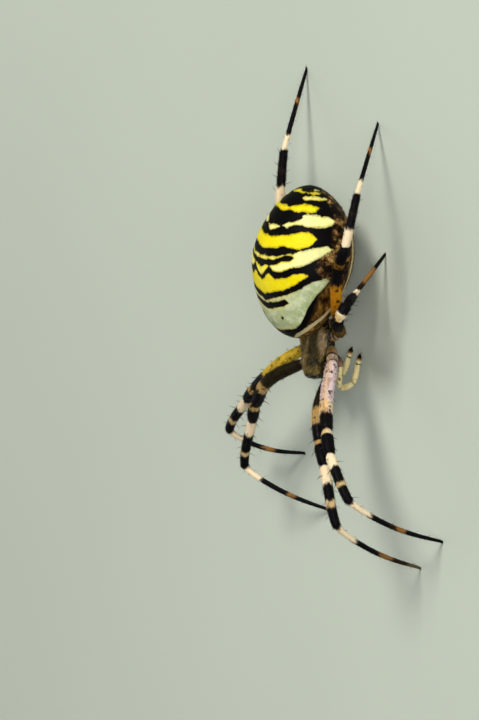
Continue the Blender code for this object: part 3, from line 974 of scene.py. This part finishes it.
def prosoma_skin(nodes, rows, sides):
    """The carapace and sternum as one skin, through the sections of their solid."""
    sections = []
    for points in node_sections("prosoma", nodes):
        edge = points[np.abs(points[:, 0]).argmax(), 2]
        points = points[np.argsort(np.arctan2(points[:, 0], points[:, 2] - edge - 0.1))]
        closed = np.vstack([points[-2:], points, points[:3]])
        sections.append(spline(closed, 2 + np.linspace(0, len(points), sides, endpoint=False)))
    flat = np.array(sections).reshape(len(sections), -1)
    points = spline(flat, np.linspace(0, len(sections) - 1, rows)).reshape(-1, 3)
    points[:, 0] *= 0.98
    points[:, 2] = 4.6 + (points[:, 2] - 4.6) * 0.975
    top = rise(points[:, 2], 4.75, 5.0)
    points[:, 2] -= 0.10 * furrows(points[:, 0], points[:, 1]) * top
    points[:, 2] += 0.012 * lumps(points, 2.5, 5)
    return Skin(points, rows, sides)


def prosoma_markings(points):
    """Dark olive on each side of the middle, weaker on the right, the head darker towards its front edge,
    painted shade on the lower sides, and a pale stripe below.
    """
    x, y, z = points.T
    across = np.abs(x) + 0.10 * lumps(points, 2.0, 6)
    band = rise(across, 0.02, 0.34) * rise(across, 1.58, 1.28) * rise(y, -2.3, -1.5)
    band = band * rise(y, 2.5, 1.9) * np.where(x > 0, 1.0, 0.4)
    rim = rise(y, -2.45, -2.8) + 0.35 * rise(y, -1.0, -2.3)
    # Painted shade: the carapace's lower sides darken where the bases of the legs shade them
    under = rise(z, 5.05, 4.72)
    stripe = rise(np.abs(x), 0.42, 0.26) * rise(z, 3.9, 3.6) * rise(y, -2.0, -1.6) * rise(y, 2.3, 1.9)
    # dark holds the olive, the front of the head and the painted shade together
    return {"dark": np.clip(0.85 * band + rim + under, 0, 1), "pale": stripe}


def build_prosoma(nodes):
    skin = prosoma_skin(nodes, 130, 144)
    points = skin.points
    markings = prosoma_markings(points)
    attributes = {**markings, "place": points}
    material = carapace_material()
    add_piece("carapace_skin", points, skin.faces(), material, attributes, ["prosoma"])
    rng = np.random.default_rng(41)
    top = rise(points[:, 2], 4.62, 4.9)
    # Fewer and darker hairs where the skin is dark, so the painted shade on the lower sides reaches the
    # coat too
    index, spots = skin.pick(CARAPACE_HAIRS, top * (1.0 - 0.75 * markings["dark"]) + 0.04, rng)
    x = points[index, 0]
    comb = np.stack([-0.35 * np.sign(x), np.full(len(x), -1.0), 0 * x], -1)
    hairs = skin.hairs(index, comb, (0.10, 0.45), (0.18, 0.36), 0.012, rng)
    tone = 0.40 + 0.34 * rise(np.abs(x), 1.3, 2.2) + rng.normal(0, 0.22, len(index))
    tones = {"tone": np.clip(tone - 0.40 * markings["dark"][index], 0, 1)}
    add_coat("carapace_coat", hairs, carapace_hair_material(), tones, spots)


def ball(middle, radius, rows=18, sides=24):
    """Points and faces of a ball, and the places of its points on a unit ball."""
    tilt = np.repeat(np.linspace(0.04, math.pi - 0.04, rows), sides)
    turn = np.tile(np.arange(sides) * 2 * math.pi / sides, rows)
    unit_ball = np.stack([np.sin(tilt) * np.cos(turn), -np.cos(tilt), np.sin(tilt) * np.sin(turn)], -1)
    points = np.array(middle) + unit_ball * radius
    return points, tube_faces(points, rows, sides), unit_ball


def build_eyes():
    lens = eye_material()
    for side, sign in SIDES:
        for place, ((x, y, z), radius) in EYES.items():
            points, faces, unit_ball = ball((x * sign, y, z), radius)
            name = f"eye_{side}_{place}"
            attributes = {"front": rise(unit_ball[:, 1], 0.2, -0.5)}
            add_piece(f"{name}_lens", points, faces, lens, attributes, [name])


def mirrored(line, sign):
    """A line of the left side, or the same one on the right side where sign is -1."""
    return [(x * sign, y, z) for x, y, z in line]


def build_mouthparts(bristle):
    """The swollen mouthpart that carries each palp."""
    skin = mottled_material("maxilla", (0.66, 0.52, 0.42), (0.24, 0.14, 0.08), 0.2, 0.55, 1.6)
    for side, sign in SIDES:
        rng = np.random.default_rng(320 + len(side))
        limb = Limb(mirrored(MAXILLA, sign), (0.5, 0.5, 0.5), MAXILLA_RADII, pinch=0, step=0.04)
        name = f"maxilla_{side}"
        limb.skin(f"{name}_skin", skin, ROUND_SIDES, "palp", [name])
        limb.coat(f"{name}_coat", MAXILLA_HAIRS, bristle, rng, (0.12, 0.26), 0.007, 0.2)


def build_jaws(bristle):
    """The two jaws with their fangs."""
    skin = mottled_material("jaw", (0.24, 0.15, 0.09), (0.09, 0.055, 0.04), 0.32, 0.4)
    fang = mottled_material("fang", (0.14, 0.05, 0.03), (0.05, 0.025, 0.02), 0.15, 0.5)
    for side, sign in SIDES:
        rng = np.random.default_rng(300 + len(side))
        limb = Limb(mirrored(JAW, sign), (0.6, 0.6), JAW_RADII, pinch=0, step=0.05)
        name = f"jaw_{side}"
        limb.skin(name, skin, ROUND_SIDES, "chelicera", [f"chelicera_{side}"])
        limb.coat(f"{name}_coat", JAW_HAIRS, bristle, rng, (0.16, 0.34), 0.008, 0.2)
        hook = Limb(mirrored(FANG, sign), (0.9, 0.9), FANG_RADII, pinch=0, step=0.03)
        hook.skin(f"fang_{side}", fang, 12, "chelicera")


def build_spinnerets():
    """Six short cones under the rear of the abdomen, joined."""
    groups, points, places = [], [], []
    for x, y, radius, length in SPINNERETS:
        line = ((x, y, 2.5), (x * 0.8, y + 0.05, 2.5 - length / 2), (x * 0.4, y, 2.4 - length))
        radii = ((radius, radius), (radius * 0.9, radius * 0.4))
        for sign in (1, -1):
            cone = Limb(mirrored(line, sign), (0.5, 0.5), radii, pinch=0.15, step=0.03)
            found, faces, attributes = cone.surface(16)
            start = sum(len(row) for row in points)
            groups += [group + start for group in faces]
            points.append(found)
            places.append(attributes["place"])
    skin = mottled_material("spinneret", (0.34, 0.20, 0.12), (0.14, 0.08, 0.05))
    points, attributes = np.vstack(points), {"place": np.vstack(places)}
    add_piece("spinneret_cones", points, groups, skin, attributes, ["spinnerets"])


def build_pedicel():
    limb = Limb(PEDICEL, (0.5, 0.5), PEDICEL_RADII, step=0.04)
    skin = mottled_material("pedicel_skin", (0.20, 0.13, 0.09), (0.09, 0.06, 0.045))
    limb.skin("pedicel_skin", skin, 20, "carapace", ["pedicel"])


# -------------------- scene


def build_floor():
    paint = Paint("floor", 0.75, 0.2)
    place = paint.node("TexCoord", "Object")
    shades = ((0.3, (0.73, 0.76, 0.70)), (0.7, (0.77, 0.80, 0.74)))
    paint.set("Base Color", paint.ramp(paint.noise(place, 6.0), shades))
    mesh = bpy.data.meshes.new("floor")
    corners = [(x * FLOOR_SIZE / 2, y * FLOOR_SIZE / 2, 0) for x, y in ((-1, -1), (1, -1), (1, 1), (-1, 1))]
    mesh.from_pydata(corners, [], [(0, 1, 2, 3)])
    mesh.materials.append(paint.material)
    add_object("floor", mesh)


def add_light(name, place, size, power, colour=(1, 1, 1)):
    """A square area light at a place in metres, facing the spider."""
    data = bpy.data.lights.new(name, "AREA")
    data.size = size
    data.energy = power
    data.color = colour
    light = add_object(name, data)
    light.location = place
    light.rotation_euler = (-Vector(place)).to_track_quat("-Z", "Y").to_euler()


def build_light():
    add_light("key", (0.12, 0.44, 0.41), 0.20, 3.0, (1.0, 0.99, 0.96))
    add_light("fill", (0.56, 0.10, 0.30), 0.30, 2.3, (0.97, 0.98, 1.0))
    add_light("back", (-0.45, -0.10, 0.35), 0.40, 0.5)
    world = bpy.data.worlds.new("studio")
    world.use_nodes = True
    background = world.node_tree.nodes["Background"]
    background.inputs["Color"].default_value = (0.93, 0.95, 0.97, 1)
    background.inputs["Strength"].default_value = 0.20
    bpy.context.scene.world = world


def build_camera():
    data = bpy.data.cameras.new("camera")
    data.lens = LENS_MM
    data.sensor_width = 36
    data.clip_start = 0.01
    camera = add_object("camera", data)
    forward, up = Vector(CAMERA_FORWARD).normalized(), Vector(CAMERA_UP)
    right = forward.cross(up).normalized()
    turn = camera.matrix_world.to_3x3()
    turn.col[0], turn.col[1], turn.col[2] = right, right.cross(forward), -forward
    camera.matrix_world = turn.to_4x4()
    camera.location = Vector(CAMERA_PLACE) * MM + place_in_frame()
    bpy.context.scene.camera = camera


def main():
    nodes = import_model()["nodes"]
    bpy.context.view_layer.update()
    bpy.context.scene.view_settings.view_transform = "Standard"
    build_camera()
    build_floor()
    build_light()
    bristle = mottled_material("bristle", (0.085, 0.060, 0.050), (0.03, 0.022, 0.02), 0.35)
    build_abdomen(nodes)
    build_prosoma(nodes)
    build_legs(bristle)
    build_palps(bristle)
    build_mouthparts(bristle)
    build_jaws(bristle)
    build_eyes()
    build_spinnerets()
    build_pedicel()


main()
